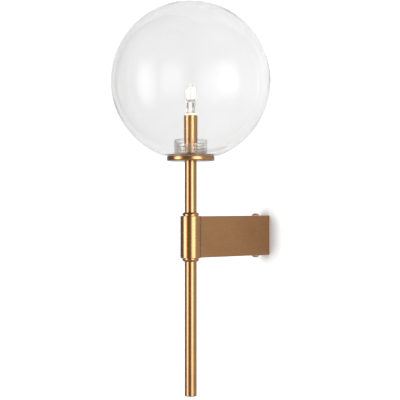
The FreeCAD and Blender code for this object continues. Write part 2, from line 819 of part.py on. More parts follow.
def main():
    os.makedirs("parts", exist_ok=True)
    save(wall_bracket(), "wall_bracket")
    save(earth_washer(), "earth_washer")
    save(earth_screw(), "earth_screw")
    save(lock_washer(), "upper_screw_washer")
    save(lock_screw(), "upper_lock_screw")
    save(mirrored_below(lock_washer()), "lower_screw_washer")
    save(mirrored_below(lock_screw()), "lower_lock_screw")

    save(arm_housing(), "arm_housing")
    save(end_sleeve(), "end_sleeve")
    save(hub_plug(), "upper_hub_plug")
    save(mirrored_below(hub_plug()), "lower_hub_plug")
    save(ferrule(), "upper_ferrule")
    save(mirrored_below(ferrule()), "lower_ferrule")
    save(nipple(hub_top - hub_plug_thickness - nipple_tail, hub_top + nipple_engagement), "hub_nipple")
    save(hub_stud(), "hub_stud")

    save(rod(hub_top, upper_rod_top), "upper_rod")
    save(threaded_insert(hub_top, hub_top + insert_length), "upper_rod_foot_insert")
    save(threaded_insert(upper_rod_top - insert_length, upper_rod_top), "upper_rod_head_insert")
    save(rod(lower_rod_bottom, -hub_top), "lower_rod")
    save(threaded_insert(-hub_top - insert_length, -hub_top), "lower_rod_insert")
    save(rod_end_cap(), "rod_end_cap")

    save(globe_disc(), "globe_disc")
    save(nipple(upper_rod_top - nipple_engagement, cup_floor_top), "disc_nipple")
    save(globe_gasket(), "globe_gasket")
    save(threaded_collar(), "threaded_collar")
    save(candle_tube(), "candle_tube")
    save(tube_ring_nut(), "tube_ring_nut")
    save(lampholder_cup(), "lampholder_cup")
    save(lampholder_body(), "lampholder_body")
    save(lampholder_contacts(), "lampholder_contacts")

    save(glass_globe(), "glass_globe")
    save(bulb_envelope(), "bulb_envelope")
    save(on_rod_axis(bulb_leads()), "bulb_leads")
    save(bulb_filament(), "bulb_filament")

    save(terminal_block(), "terminal_block")
    save(terminal_clamps(), "terminal_clamps")
    save(terminal_screws(), "terminal_screws")
    save(terminal_pad(), "terminal_pad")
    save(lead(1), "live_lead")
    save(lead(-1), "neutral_lead")


main()
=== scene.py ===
# %% [markdown]
# # A globe wall sconce
# A flat brass arm comes out of the wall and ends in an upright sleeve. A slim rod passes the sleeve: it
# carries a clear glass globe above and hangs as a plain tail below. The solids come from the packed
# model, in metres, with the wall plane at y = 0 and +Z up. This script gives each solid its finish, and
# rebuilds the few pieces whose threads, sockets, rims and coils are too fine for the solids.

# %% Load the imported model
import math

import bmesh
import bpy
from mathutils import Matrix, Vector


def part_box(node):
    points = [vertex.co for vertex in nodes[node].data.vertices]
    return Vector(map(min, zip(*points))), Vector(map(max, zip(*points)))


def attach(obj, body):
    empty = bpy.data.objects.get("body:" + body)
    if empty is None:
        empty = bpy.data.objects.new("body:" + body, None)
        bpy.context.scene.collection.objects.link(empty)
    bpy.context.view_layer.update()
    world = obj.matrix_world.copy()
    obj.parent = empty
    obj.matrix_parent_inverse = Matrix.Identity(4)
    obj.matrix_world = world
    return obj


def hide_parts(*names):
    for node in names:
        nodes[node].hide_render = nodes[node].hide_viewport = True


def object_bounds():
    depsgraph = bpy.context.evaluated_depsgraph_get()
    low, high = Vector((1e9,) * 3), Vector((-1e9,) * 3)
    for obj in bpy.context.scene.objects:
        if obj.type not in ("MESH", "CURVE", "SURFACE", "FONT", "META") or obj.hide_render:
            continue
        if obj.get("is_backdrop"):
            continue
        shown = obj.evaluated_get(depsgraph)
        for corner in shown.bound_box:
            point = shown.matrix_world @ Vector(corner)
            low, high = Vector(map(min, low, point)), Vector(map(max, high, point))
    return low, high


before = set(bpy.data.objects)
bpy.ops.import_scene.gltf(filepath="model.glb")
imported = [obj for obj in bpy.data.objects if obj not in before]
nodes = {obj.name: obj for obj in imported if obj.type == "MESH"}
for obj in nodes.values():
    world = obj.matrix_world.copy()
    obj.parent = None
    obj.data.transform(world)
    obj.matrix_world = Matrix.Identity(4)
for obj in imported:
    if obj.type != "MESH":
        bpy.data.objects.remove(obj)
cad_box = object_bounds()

print("loaded", len(nodes), "solids; box", [round(v, 4) for corner in cad_box for v in corner])

# %% [markdown]
# ## Sizes that several pieces share
# Every turned piece stands on one upright line, the rod axis. It could be typed in, but it is safer to
# take it from the globe's own box, so that it follows the solids.

# %% The rod axis
MM = 0.001
globe_low, globe_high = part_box("glass_globe")
rod_x = (globe_low.x + globe_high.x) / 2
rod_y = (globe_low.y + globe_high.y) / 2
print("rod axis at", round(rod_x, 4), round(rod_y, 4))

# %% [markdown]
# ## The camera
# The photograph looks along the wall at 45 degrees, level, through a long lens. The sleeve's top and
# bottom rims both look like straight lines, so the eye is between them. The rod stands a little left of
# the middle of the picture, so the camera is moved sideways by that much.

# %% Camera
camera_azimuth = math.radians(45)
towards_camera = Vector((math.sin(camera_azimuth), -math.cos(camera_azimuth), 0))
to_the_right = Vector((math.cos(camera_azimuth), math.sin(camera_azimuth), 0))
camera_distance = 1.61
eye_height = 0.0413
sideways = 0.0116

lens = bpy.data.cameras.new("camera")
lens.sensor_width = 36
lens.lens = 115.8
lens.shift_y = 0.01
camera = bpy.data.objects.new("camera", lens)
bpy.context.scene.collection.objects.link(camera)
camera.location = (Vector((rod_x, rod_y, eye_height)) + to_the_right * sideways
                   + towards_camera * camera_distance)
camera.rotation_mode = "QUATERNION"
camera.rotation_quaternion = (-towards_camera).to_track_quat("-Z", "Y")
bpy.context.scene.camera = camera
print("camera at", [round(v, 3) for v in camera.location])

# %% [markdown]
# ## Sums inside a material
# The wall, the lamps and the brass all need a little arithmetic between shader nodes. Each sum could be
# wired by hand, but one helper that takes numbers and node outputs alike keeps the cells below short.

# %% A helper for shader sums
def maths(tree, operation, *parts):
    """Adds a Math node on the parts given, each a number or another node's output."""
    step = tree.nodes.new("ShaderNodeMath")
    step.operation = operation
    for socket, part in zip(step.inputs, parts):
        if isinstance(part, bpy.types.NodeSocket):
            tree.links.new(part, socket)
        else:
            socket.default_value = part
    return step.outputs[0]


# %% [markdown]
# ## The wall and the floor
# The lamp hangs on a white wall, with only a soft shadow round the foot of the arm. A pale surface
# under plain light is not quite white in a picture, and more light would spoil the brass, so the wall
# adds a glow where the camera, a reflection or the glass looks at it. The camera gets the whole of it,
# held back where the object is close, which deepens the shadow. Metal and glass get a share each, because
# a wall brighter than white would wash them out. A ray that has passed glass counts as a glossy ray as
# well, so the larger of the two shares is taken, not their sum. The wall's back is see-through, so that
# the views from behind still show the lamp.

# %% A white surface that keeps its shadow
share_in_metal = 0.56
share_in_glass = 0.60
contact_distance = 0.025
contact_depth = 2.0
chalk_grey = (0.42, 0.42, 0.42, 1)


def plain_surface(name, corners, glow):
    """A flat pale sheet with an even glow for what sees it; to the camera the glow is held back close to the
    object, a painted contact shadow.
    """
    sheet = bmesh.new()
    sheet.faces.new([sheet.verts.new(corner) for corner in corners])
    mesh = bpy.data.meshes.new(name)
    sheet.to_mesh(mesh)
    sheet.free()
    surface = bpy.data.objects.new(name, mesh)
    bpy.context.scene.collection.objects.link(surface)

    paint = bpy.data.materials.new(name)
    paint.use_nodes = True
    tree = paint.node_tree
    tree.nodes.clear()
    seen = tree.nodes.new("ShaderNodeLightPath").outputs
    nearness = tree.nodes.new("ShaderNodeAmbientOcclusion")
    nearness.inputs["Distance"].default_value = contact_distance
    # Painted contact shadow: occlusion near the object holds back the camera's glow, darkening the wall round
    # the foot of the arm.
    painted_contact_shade = maths(tree, "POWER", nearness.outputs["AO"], contact_depth)
    in_camera = maths(tree, "MULTIPLY", seen["Is Camera Ray"], painted_contact_shade)
    in_metal = maths(tree, "MULTIPLY", seen["Is Glossy Ray"], share_in_metal)
    in_glass = maths(tree, "MULTIPLY", seen["Is Transmission Ray"], share_in_glass)
    in_lamp = maths(tree, "MAXIMUM", in_metal, in_glass)
    strength = maths(tree, "MULTIPLY", maths(tree, "ADD", in_camera, in_lamp), glow)

    emission = tree.nodes.new("ShaderNodeEmission")
    tree.links.new(strength, emission.inputs["Strength"])
    chalk = tree.nodes.new("ShaderNodeBsdfDiffuse")
    chalk.inputs["Color"].default_value = chalk_grey
    front = tree.nodes.new("ShaderNodeAddShader")
    tree.links.new(chalk.outputs[0], front.inputs[0])
    tree.links.new(emission.outputs[0], front.inputs[1])

    geometry = tree.nodes.new("ShaderNodeNewGeometry")
    clear = tree.nodes.new("ShaderNodeBsdfTransparent")
    sides = tree.nodes.new("ShaderNodeMixShader")
    tree.links.new(geometry.outputs["Backfacing"], sides.inputs[0])
    tree.links.new(front.outputs[0], sides.inputs[1])
    tree.links.new(clear.outputs[0], sides.inputs[2])
    output = tree.nodes.new("ShaderNodeOutputMaterial")
    tree.links.new(sides.outputs[0], output.inputs["Surface"])
    mesh.materials.append(paint)
    surface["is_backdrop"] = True
    return surface


# %% Wall and floor
wall_half = 4.0
wall_gap = 0.0004
floor_level = -1.1
floor_front = -8.0
wall_glow = 0.80
floor_glow = 0.50
wall = plain_surface("wall", [(-wall_half, wall_gap, floor_level), (wall_half, wall_gap, floor_level),
                              (wall_half, wall_gap, wall_half), (-wall_half, wall_gap, wall_half)], wall_glow)
floor = plain_surface("floor", [(-wall_half, wall_gap, floor_level), (-wall_half, floor_front, floor_level),
                                (wall_half, floor_front, floor_level), (wall_half, wall_gap, floor_level)],
                      floor_glow)
print("wall normal", wall.data.polygons[0].normal[:], "floor normal", floor.data.polygons[0].normal[:])

# %% [markdown]
# ## The light
# On the photographed rod a reader can count the lamps: one bright stripe on the left, a dark line in
# front, and a second bright stripe right of it. So the studio had two tall soft boxes, one well to the
# left and one near the camera on the right, with a dim room between them. The same two show as soft
# patches on the globe, without an edge, because the cloth of a soft box is brightest in its middle. A plain
# area lamp would show in the glass as a hard white window, so its strength is made to fade to its edges.
# The room itself is a pale grey to the camera and through glass, but it lights the lamp only dimly, so that
# the sides and the back can be looked at without losing the dark stripes in the brass.

# %% Soft boxes
lamp_height = 0.05
lamp_length = 2.1
fade_upwards = 1.8


def fade_to_the_edges(lamp, across, upwards):
    """Lets the lamp's strength fall from its middle as a sine, raised to a power for each direction."""
    lamp.use_nodes = True
    tree = lamp.node_tree
    place = tree.nodes.new("ShaderNodeNewGeometry")
    place_on_lamp = tree.nodes.new("ShaderNodeSeparateXYZ")
    tree.links.new(place.outputs["Parametric"], place_on_lamp.inputs[0])
    falls = []
    for direction, power in (("X", across), ("Y", upwards)):
        half_turn = maths(tree, "MULTIPLY", place_on_lamp.outputs[direction], math.pi)
        wave = maths(tree, "MAXIMUM", maths(tree, "SINE", half_turn), 0.001)
        falls.append(maths(tree, "POWER", wave, power))
    tree.links.new(maths(tree, "MULTIPLY", *falls), tree.nodes["Emission"].inputs["Strength"])


def soft_box(name, degrees_right, distance, width, radiance, fade_across):
    """A tall soft box round the rod axis, its place given as an angle to the right of the camera."""
    angle = math.radians(degrees_right)
    direction = towards_camera * math.cos(angle) + to_the_right * math.sin(angle)
    lamp = bpy.data.lights.new(name, "AREA")
    lamp.shape = "RECTANGLE"
    lamp.size = width
    lamp.size_y = lamp_length
    lamp.energy = radiance * math.pi * width * lamp_length
    box = bpy.data.objects.new(name, lamp)
    bpy.context.scene.collection.objects.link(box)
    box.location = Vector((rod_x, rod_y, lamp_height)) + direction * distance
    box.rotation_mode = "QUATERNION"
    box.rotation_quaternion = direction.to_track_quat("Z", "Y")
    box.visible_camera = False
    fade_to_the_edges(lamp, fade_across, fade_upwards)
    print(name, "at", [round(v, 2) for v in box.location])


soft_box("left_soft_box", degrees_right=-64, distance=1.45, width=1.30, radiance=7.4, fade_across=1.8)
soft_box("right_soft_box", degrees_right=34, distance=1.35, width=1.50, radiance=6.2, fade_across=1.0)

# %% The room
room_light = 0.24
room_in_glass = 0.50
room_in_view = 0.60
room = bpy.data.worlds.new("room")
room.use_nodes = True
room_tree = room.node_tree
background = room_tree.nodes["Background"]
background.inputs["Color"].default_value = (1, 1, 1, 1)
seen = room_tree.nodes.new("ShaderNodeLightPath").outputs
more_in_glass = room_in_glass - room_light
more_in_view = room_in_view - room_light
strength = maths(room_tree, "MULTIPLY_ADD", seen["Is Transmission Ray"], more_in_glass, room_light)
strength = maths(room_tree, "MULTIPLY_ADD", seen["Is Camera Ray"], more_in_view, strength)
room_tree.links.new(strength, background.inputs["Strength"])
bpy.context.scene.world = room
bpy.context.scene.view_settings.view_transform = "Standard"
print("room gives", room_light, "and shows as", room_in_view)

# %% [markdown]
# ## How the finishes are made
# Real surfaces are never one flat colour. Each finish starts from Blender's Principled shader, with a
# plain metalness, and adds noise that moves the colour, the roughness and the surface a little. The noise
# reads Object coordinates in metres, so its grain keeps its true size on every piece: a stretch of 1000
# makes grains about a millimetre long.

# %% Helpers for finishes
ramp_start = 0.38
ramp_end = 0.62


def dress(material, names):
    """Gives the solids named this material, in place of what they came with."""
    for name in names:
        nodes[name].data.materials.clear()
        nodes[name].data.materials.append(material)


class Finish:
    """A material under construction, with the few moves that all finishes here share."""

    def __init__(self, name):
        self.material = bpy.data.materials.new(name)
        self.material.use_nodes = True
        self.tree = self.material.node_tree
        self.shader = self.tree.nodes["Principled BSDF"]
        self.place = self.tree.nodes.new("ShaderNodeTexCoord")

    def set(self, **values):
        """Constant values, set on the shader's own sockets."""
        for socket, value in values.items():
            self.shader.inputs[socket.replace("_", " ")].default_value = value
        return self

    def grain(self, stretch, detail=3.0):
        """Noise whose scale along X, Y and Z is given in grains per metre."""
        mapping = self.tree.nodes.new("ShaderNodeMapping")
        mapping.inputs["Location"].default_value = [-rod_x * stretch[0], -rod_y * stretch[1], 0]
        mapping.inputs["Scale"].default_value = stretch
        self.tree.links.new(self.place.outputs["Object"], mapping.inputs["Vector"])
        noise = self.tree.nodes.new("ShaderNodeTexNoise")
        noise.inputs["Scale"].default_value = 1.0
        noise.inputs["Detail"].default_value = detail
        self.tree.links.new(mapping.outputs["Vector"], noise.inputs["Vector"])
        return noise.outputs["Fac"]

    def spread(self, value, low, high):
        """Noise mostly lies between 0.35 and 0.65; this spreads that over low to high."""
        spreader = self.tree.nodes.new("ShaderNodeMapRange")
        spreader.inputs["From Min"].default_value = 0.35
        spreader.inputs["From Max"].default_value = 0.65
        spreader.inputs["To Min"].default_value = low
        spreader.inputs["To Max"].default_value = high
        self.tree.links.new(value, spreader.inputs["Value"])
        return spreader.outputs["Result"]

    def colour(self, value, dark, light):
        """Colour that runs from dark to light with the noise."""
        ramp = self.tree.nodes.new("ShaderNodeValToRGB")
        ramp.color_ramp.elements[0].position = ramp_start
        ramp.color_ramp.elements[0].color = (*dark, 1)
        ramp.color_ramp.elements[1].position = ramp_end
        ramp.color_ramp.elements[1].color = (*light, 1)
        self.tree.links.new(value, ramp.inputs["Fac"])
        self.tree.links.new(ramp.outputs["Color"], self.shader.inputs["Base Color"])
        return self

    def roughness(self, value, low, high):
        """Roughness that runs from low to high with the noise."""
        self.tree.links.new(self.spread(value, low, high), self.shader.inputs["Roughness"])
        return self

    def bump(self, value, depth):
        """Raises the surface by the noise, depth in metres."""
        bump = self.tree.nodes.new("ShaderNodeBump")
        bump.inputs["Distance"].default_value = depth
        bump.inputs["Strength"].default_value = 1.0
        self.tree.links.new(value, bump.inputs["Height"])
        self.tree.links.new(bump.outputs["Normal"], self.shader.inputs["Normal"])
        return self

    def lets_lamps_through(self, tint):
        """Glass would cast a black shadow, so for rays from the lamps it becomes a clear tinted sheet."""
        path = self.tree.nodes.new("ShaderNodeLightPath")
        clear = self.tree.nodes.new("ShaderNodeBsdfTransparent")
        clear.inputs["Color"].default_value = (*tint, 1)
        mix = self.tree.nodes.new("ShaderNodeMixShader")
        output = self.tree.nodes["Material Output"]
        self.tree.links.new(path.outputs["Is Shadow Ray"], mix.inputs[0])
        self.tree.links.new(self.shader.outputs[0], mix.inputs[1])
        self.tree.links.new(clear.outputs[0], mix.inputs[2])
        self.tree.links.new(mix.outputs[0], output.inputs["Surface"])
        return self


# %% [markdown]
# ## Satin antique brass
# All the brass that shows is toned to a warm brown, brushed to a satin and lacquered. The brushing runs
# along the arm and along the rods, which are drawn tube, but round the pieces that were turned on a lathe,
# so there are three versions with the grain stretched in different directions, and a fourth for what is
# hidden. The lacquer is the shader's coat, which is why the lamps reflect almost white while the shaded
# metal stays brown. The tint that metal takes at its edge is kept dark, for the line down each side of a rod.

# %% Brass finishes
brass_dark = (0.292, 0.116, 0.009)
brass_light = (0.316, 0.129, 0.013)
brass_edge = (0.42, 0.34, 0.26, 1)
stroke_depth = 0.00000015


def satin_brass(name, brush, brushing=0.10):
    """Toned, brushed and lacquered brass; brushing is the share that the strokes have in its colour."""
    finish = Finish(name)
    finish.set(Metallic=1.0, Specular_Tint=brass_edge, Coat_Weight=0.84, Coat_Roughness=0.17, Coat_IOR=1.8)
    patina = finish.grain((22, 22, 22), 2.0)
    strokes = finish.grain(brush, 2.0)
    toned = maths(finish.tree, "MULTIPLY", patina, 1 - brushing)
    finish.colour(maths(finish.tree, "MULTIPLY_ADD", strokes, brushing, toned), brass_dark, brass_light)
    return finish.roughness(strokes, 0.262, 0.288).bump(strokes, stroke_depth).material


arm_brass = satin_brass("satin_brass_arm", (2600, 60, 2600), 0.06)
turned_brass = satin_brass("satin_brass_turned", (60, 60, 4200))
drawn_brass = satin_brass("satin_brass_drawn", (1800, 1800, 30))
plain_brass = satin_brass("plain_machined_brass", (120, 120, 2200))
dress(arm_brass, ("arm_housing", "wall_bracket"))
dress(turned_brass, ("end_sleeve", "upper_ferrule", "lower_ferrule", "rod_end_cap", "globe_disc",
                     "upper_lock_screw", "lower_lock_screw"))
dress(drawn_brass, ("upper_rod", "lower_rod", "candle_tube"))
dress(plain_brass, ("upper_hub_plug", "lower_hub_plug", "upper_rod_foot_insert", "upper_rod_head_insert",
                    "lower_rod_insert", "terminal_clamps", "tube_ring_nut"))
print("brass on", sum(1 for o in nodes.values() if "brass" in o.data.materials[0].name), "solids")

# %% [markdown]
# ## Steel, ceramic, plastics and insulation
# The hidden fittings are zinc-plated steel, which is grey with pale blotches. The lampholder is unglazed
# steatite, a cream ceramic with a sandy surface. The terminal block, its pad, the washers and the leads
# are plain moulded or extruded stuff, so their noise is slight.

# %% Other opaque finishes
def zinc_steel():
    """Plated steel, grey with pale blotches."""
    finish = Finish("zinc_plated_steel").set(Metallic=1.0)
    blotches = finish.grain((420, 420, 420), 3.0)
    return finish.colour(blotches, (0.50, 0.51, 0.53), (0.68, 0.69, 0.70)).roughness(
        blotches, 0.24, 0.40).bump(finish.grain((1500, 1500, 1500)), 0.000006).material


def steatite():
    """Unglazed cream ceramic with a sandy surface."""
    finish = Finish("cream_steatite").set(Specular_IOR_Level=0.4)
    sand = finish.grain((2600, 2600, 2600), 4.0)
    finish.colour(finish.grain((260, 260, 260)), (0.70, 0.635, 0.53), (0.78, 0.72, 0.62))
    return finish.roughness(sand, 0.48, 0.68).bump(sand, 0.00003).material


def moulded(name, dark, light, rough_low, rough_high):
    """A moulded or extruded plastic or rubber with faint mottling and a fine skin."""
    finish = Finish(name)
    skin = finish.grain((1800, 1800, 1800), 3.0)
    finish.colour(finish.grain((300, 300, 300)), dark, light)
    return finish.roughness(skin, rough_low, rough_high).bump(skin, 0.00001).material


finishes = {
    "zinc": zinc_steel(),
    "steatite": steatite(),
    "block": moulded("white_polyamide", (0.74, 0.74, 0.71), (0.84, 0.84, 0.82), 0.38, 0.52),
    "pad": moulded("black_foam", (0.035, 0.035, 0.035), (0.075, 0.075, 0.072), 0.75, 0.95),
    "washer": moulded("natural_nylon", (0.66, 0.62, 0.55), (0.78, 0.75, 0.69), 0.35, 0.5),
    "brown": moulded("brown_insulation", (0.095, 0.040, 0.018), (0.15, 0.066, 0.030), 0.42, 0.6),
    "blue": moulded("blue_insulation", (0.014, 0.055, 0.21), (0.025, 0.09, 0.32), 0.42, 0.6),
}
painted = {
    "zinc": ("earth_screw", "earth_washer", "hub_nipple", "hub_stud", "disc_nipple", "lampholder_cup",
             "terminal_screws", "lampholder_contacts"),
    "steatite": ("lampholder_body",), "block": ("terminal_block",), "pad": ("terminal_pad",),
    "washer": ("upper_screw_washer", "lower_screw_washer"),
    "brown": ("live_lead",), "blue": ("neutral_lead",),
}
for finish_name, names in painted.items():
    dress(finishes[finish_name], names)
print("opaque finishes:", ", ".join(sorted(m.name for m in finishes.values())))

# %% [markdown]
# ## Glass and clear plastic
# The globe is blown soda glass: its wall is almost even, with slow waves that only show where it bends
# the light. The bulb is quartz with a faint cream frost, because a wholly clear one would show dark
# outlines that the photograph doesn't have. The collar is moulded clear plastic, and the gasket milky
# silicone. A clear piece has transmission and an index of refraction, and its noise moves little but the
# surface, because a colour change would look like dirt. In the photograph the lamps are only faint on the
# globe, so its mirror images are weakened.

# %% Clear finishes
darker_waves = 0.985
smoother_waves = 0.5


def clear_glass(name, colour, ior, waves, depth, rough, clearness=1.0, mirror=1.0):
    """Glass with waves so many to the metre; mirror below 1 weakens what it reflects face on."""
    finish = Finish(name)
    finish.set(Transmission_Weight=clearness, IOR=ior, Specular_Tint=(mirror, mirror, mirror, 1))
    surface = finish.grain((waves, waves, waves), 1.0)
    finish.colour(surface, [darker_waves * part for part in colour], colour)
    finish.roughness(surface, rough * smoother_waves, rough)
    return finish.bump(surface, depth).lets_lamps_through(colour).material


def milky_silicone():
    """Rubber that lets some light in and shows as tan over the brass."""
    finish = Finish("milky_silicone").set(Transmission_Weight=0.35, IOR=1.41)
    skin = finish.grain((1500, 1500, 1500), 3.0)
    finish.colour(finish.grain((220, 220, 220)), (0.50, 0.42, 0.33), (0.60, 0.52, 0.42))
    finish.roughness(skin, 0.35, 0.5).bump(skin, 0.00001)
    return finish.lets_lamps_through((0.6, 0.57, 0.53)).material


globe_glass = clear_glass("blown_globe_glass", (0.98, 0.982, 0.98), ior=1.5, waves=14, depth=0.0006,
                          rough=0.01, mirror=0.22)
bulb_glass = clear_glass("bulb_quartz", (1.0, 0.985, 0.945), ior=1.46, waves=120, depth=0.00004, rough=0.11,
                         clearness=0.86)
collar_plastic = clear_glass("clear_collar_plastic", (1.0, 0.955, 0.90), ior=1.49, waves=90, depth=0.00008,
                             rough=0.03, clearness=0.95)
dress(globe_glass, ("glass_globe",))
dress(bulb_glass, ("bulb_envelope",))
dress(collar_plastic, ("threaded_collar",))
dress(milky_silicone(), ("globe_gasket",))
print("clear finishes:", globe_glass.name, bulb_glass.name, collar_plastic.name)


# %% The metals inside the bulb
def drawn_tungsten():
    """The filament's wire, grey with fine streaks."""
    finish = Finish("drawn_tungsten").set(Metallic=1.0)
    streaks = finish.grain((5000, 5000, 5000), 2.0)
    return finish.colour(streaks, (0.20, 0.195, 0.19), (0.34, 0.33, 0.32)).roughness(
        streaks, 0.3, 0.45).bump(streaks, 0.000003).material


def rolled_molybdenum():
    """The foils and leads, dark with the oxide that sealing them in hot glass leaves."""
    finish = Finish("rolled_molybdenum").set(Metallic=1.0)
    rolling = finish.grain((400, 400, 3000), 2.0)
    return finish.colour(rolling, (0.045, 0.040, 0.034), (0.085, 0.077, 0.068)).roughness(
        rolling, 0.32, 0.5).bump(rolling, 0.000002).material


tungsten = drawn_tungsten()
dress(tungsten, ("bulb_filament",))
dress(rolled_molybdenum(), ("bulb_leads",))
print("finishes inside the bulb:", nodes["bulb_leads"].data.materials[0].name, tungsten.name)

# %% [markdown]
# ## Drawing a turned piece
# The pieces that follow are all turned or blown, so each starts as an outline in the plane through its
# axis. A vertex is drawn out along lines and swung round arcs, as a pen would be, and a full spin with
# use_merge closes the outline into a solid. Nothing is typed in as a list of faces.

# %% A pen for outlines
class Pen:
    """Draws an outline in the XZ plane, with radius as X, then turns it round the Z axis."""

    def __init__(self, radius, height):
        self.mesh = bmesh.new()
        self.first = self.last = self.mesh.verts.new((radius, 0, height))

    def line(self, radius, height, pieces=1):
        """A straight run, cut into as many pieces as the shape needs later."""
        start = self.last.co.copy()
        end = Vector((radius, 0, height))
        for step in range(1, pieces + 1):
            drawn = bmesh.ops.extrude_vert_indiv(self.mesh, verts=[self.last])
            self.last = drawn["verts"][0]
            self.last.co = start.lerp(end, step / pieces)
        return self

    def arc(self, radius, height, degrees, pieces):
        """Swings the pen round the point given; positive degrees turn from +Z towards +X."""
        swung = bmesh.ops.spin(self.mesh, geom=[self.last], cent=(radius, 0, height), axis=(0, 1, 0),
                               dvec=(0, 0, 0), angle=math.radians(degrees), steps=pieces,
                               use_merge=False, use_normal_flip=False, use_duplicate=False)
        self.last = [item for item in swung["geom_last"] if isinstance(item, bmesh.types.BMVert)][0]
        return self

    def close(self):
        self.mesh.edges.new((self.last, self.first))
        return self

    def turn(self, steps):
        """Spins the outline round the Z axis and returns the bmesh."""
        bmesh.ops.spin(self.mesh, geom=self.mesh.verts[:] + self.mesh.edges[:], cent=(0, 0, 0),
                       axis=(0, 0, 1), dvec=(0, 0, 0), angle=2 * math.pi, steps=steps,
                       use_merge=True, use_normal_flip=False, use_duplicate=False)
        bmesh.ops.remove_doubles(self.mesh, verts=self.mesh.verts[:], dist=1e-7)
        return self.mesh


def finish_piece(name, mesh_builder, node, body, material, sharp_degrees=35):
    """Makes an object of the mesh, shades it smooth, hangs it on its body, hides the solid it replaces and
    gives it its finish.
    """
    bmesh.ops.dissolve_degenerate(mesh_builder, dist=1e-8, edges=mesh_builder.edges[:])
    bmesh.ops.recalc_face_normals(mesh_builder, faces=mesh_builder.faces[:])
    mesh = bpy.data.meshes.new(name)
    mesh_builder.to_mesh(mesh)
    mesh_builder.free()
    mesh.shade_smooth()
    mesh.set_sharp_from_angle(angle=math.radians(sharp_degrees))
    mesh.materials.append(material)
    piece = bpy.data.objects.new(name, mesh)
    bpy.context.scene.collection.objects.link(piece)
    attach(piece, body)
    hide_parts(node)
    print(name, "has", len(mesh.polygons), "faces")


# %% [markdown]
# ## The glass globe
# The globe is one sheet of glass: a ball with a flattened foot, whose glass turns up inside as a short
# neck with a coarse moulded thread. The solid has the plain wall. Here the outline is drawn again, with
# the neck cut finely, and every point of the neck is then moved in or out by a wave that climbs 4 mm in
# each turn. It climbs the right-handed way, so it keeps to the collar's thread while the globe unscrews.

# %% The thread that globe and collar share
globe_pitch = 4.0 * MM
globe_depth = 0.45 * MM


def thread_wave(point, pitch):
    """1 on the crest of a right-handed thread, -1 in its valley, for a point round the Z axis."""
    turn = math.atan2(point.y, point.x)
    return math.cos(2 * math.pi * point.z / pitch - turn)


def fade(value, low, high, margin):
    """1 between low and high, and falling smoothly to 0 over the margin inside each end."""
    share = max(0.0, min(1.0, (value - low) / margin, (high - value) / margin))
    return share * share * (3 - 2 * share)


def push_out(point, amount):
    """Moves a point away from the Z axis."""
    radius = math.hypot(point.x, point.y)
    point.x *= 1 + amount / radius
    point.y *= 1 + amount / radius


# %% The globe's outline
glass = 2.0 * MM
globe_radius = (globe_high.x - globe_low.x) / 2
foot = globe_low.z
crown = globe_high.z
centre = crown - globe_radius
foot_bend = 10.0 * MM
neck_bore = 18.3 * MM
neck_top = foot + 20.5 * MM
mouth_bend = 1.5 * MM
root_bend = 2.5 * MM
neck_cuts = 72


def foot_bend_place(radius, bend, height):
    """Where the ball runs into the foot's bend: the bend's middle and the slope at which they meet."""
    middle_height = height + bend
    middle_radius = math.sqrt((radius - bend) ** 2 - (centre - middle_height) ** 2)
    return middle_radius, middle_height, math.degrees(math.atan2(centre - middle_height, middle_radius))


outer_middle, outer_height, outer_slope = foot_bend_place(globe_radius, foot_bend, foot)
inner_middle, inner_height, inner_slope = foot_bend_place(globe_radius - glass, foot_bend - glass,
                                                          foot + glass)

pen = Pen(0, crown)
pen.arc(0, centre, 90 + outer_slope, 76)
pen.arc(outer_middle, outer_height, 90 - outer_slope, 10)
pen.line(neck_bore + mouth_bend, foot, 3)
pen.arc(neck_bore + mouth_bend, foot + mouth_bend, 90, 5)
pen.line(neck_bore, neck_top - glass / 2, neck_cuts)
pen.arc(neck_bore + glass / 2, neck_top - glass / 2, 180, 8)
pen.line(neck_bore + glass, foot + glass + root_bend, neck_cuts)
pen.arc(neck_bore + glass + root_bend, foot + glass + root_bend, -90, 5)
pen.line(inner_middle, foot + glass, 3)
pen.arc(inner_middle, inner_height, inner_slope - 90, 10)
pen.arc(0, centre, -90 - inner_slope, 76)
print("outline ends at", [round(v * 1000, 3) for v in pen.last.co], "mm")
globe_mesh = pen.turn(128)

# %% The thread on the globe's neck
for vertex in globe_mesh.verts:
    radius = math.hypot(vertex.co.x, vertex.co.y)
    if 0 < radius < neck_bore + glass + 0.1 * MM and vertex.co.z < neck_top + 0.1 * MM:
        share = fade(vertex.co.z, foot + 1.2 * MM, neck_top - 0.6 * MM, 2.4 * MM)
        push_out(vertex.co, share * globe_depth * (1 + thread_wave(vertex.co, globe_pitch)))
bmesh.ops.translate(globe_mesh, verts=globe_mesh.verts[:], vec=(rod_x, rod_y, 0))
finish_piece("globe", globe_mesh, "glass_globe", "globe", globe_glass, 60)

# %% [markdown]
# ## The threaded collar
# A clear plastic cup that the globe screws over. Its thread has the same pitch and hand as the neck's, a
# little smaller, so that the two never touch. The cup's floor and bore stay as the solid has them.

# %% Collar
collar_low, collar_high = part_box("threaded_collar")
collar_radius = (collar_high.x - collar_low.x) / 2
collar_wall = 2.5 * MM
collar_floor = 2.0 * MM
collar_hole = 5.05 * MM
collar_edge = 0.8 * MM
pen = Pen(collar_hole, collar_low.z)
pen.line(collar_radius, collar_low.z, 2)
pen.line(collar_radius, collar_high.z - collar_edge, 60)
pen.arc(collar_radius - collar_edge, collar_high.z - collar_edge, -90, 5)
pen.line(collar_radius - collar_wall, collar_high.z)
pen.line(collar_radius - collar_wall, collar_low.z + collar_floor)
pen.line(collar_hole, collar_low.z + collar_floor)
pen.close()
collar_mesh = pen.turn(96)
for vertex in collar_mesh.verts:
    if math.hypot(vertex.co.x, vertex.co.y) > collar_radius - 0.1 * MM:
        share = fade(vertex.co.z, collar_low.z + 0.5 * MM, collar_high.z - collar_edge, 1.6 * MM)
        push_out(vertex.co, -share * globe_depth * (1 - thread_wave(vertex.co, globe_pitch)))
bmesh.ops.translate(collar_mesh, verts=collar_mesh.verts[:], vec=(rod_x, rod_y, 0))
